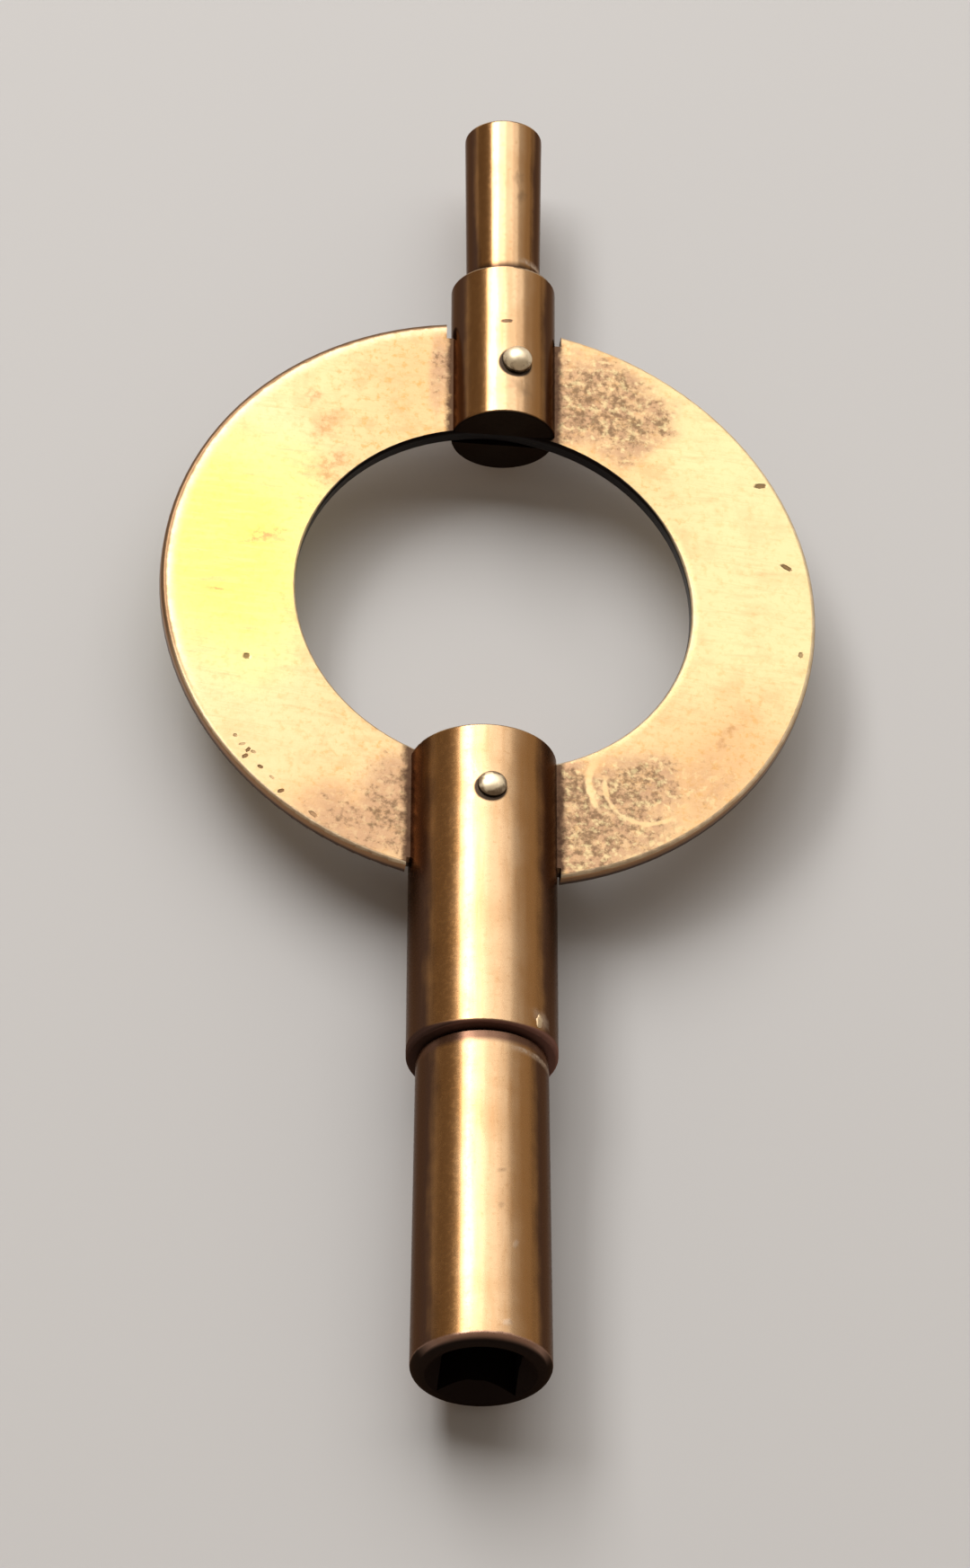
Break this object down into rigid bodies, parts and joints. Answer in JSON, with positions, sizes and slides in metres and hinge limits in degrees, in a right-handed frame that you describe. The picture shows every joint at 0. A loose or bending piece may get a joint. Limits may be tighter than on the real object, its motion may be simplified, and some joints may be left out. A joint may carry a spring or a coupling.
{
  "type": "clock key",
  "caption": "Double-ended brass clock key: flat ring bow pinned between a stepped winding end and a slimmer hand-setting end, each with a square socket.",
  "frame": {"origin": "the middle of the bow's eye, halfway through the plate", "axes": "+Y along the key towards the setting end, +X across the bow, +Z square to the bow's face"},
  "size_m": [0.028, 0.0615, 0.007],
  "materials": {
    "bow_brass": "satin sheet brass with patches of brown tarnish",
    "sleeve_brass": "turned brass, polished by handling over a brown patina",
    "barrel_brass": "turned brass, polished by handling over a brown patina",
    "pin_brass": "bright worn brass on the domed ends"
  },
  "bodies": {
    "root": {"bow": "bow_brass", "winding_sleeve": "sleeve_brass", "winding_barrel": "barrel_brass", "winding_pin": "pin_brass", "setting_collar": "sleeve_brass", "setting_barrel": "barrel_brass", "setting_pin": "pin_brass"}
  },
  "joints": []
}
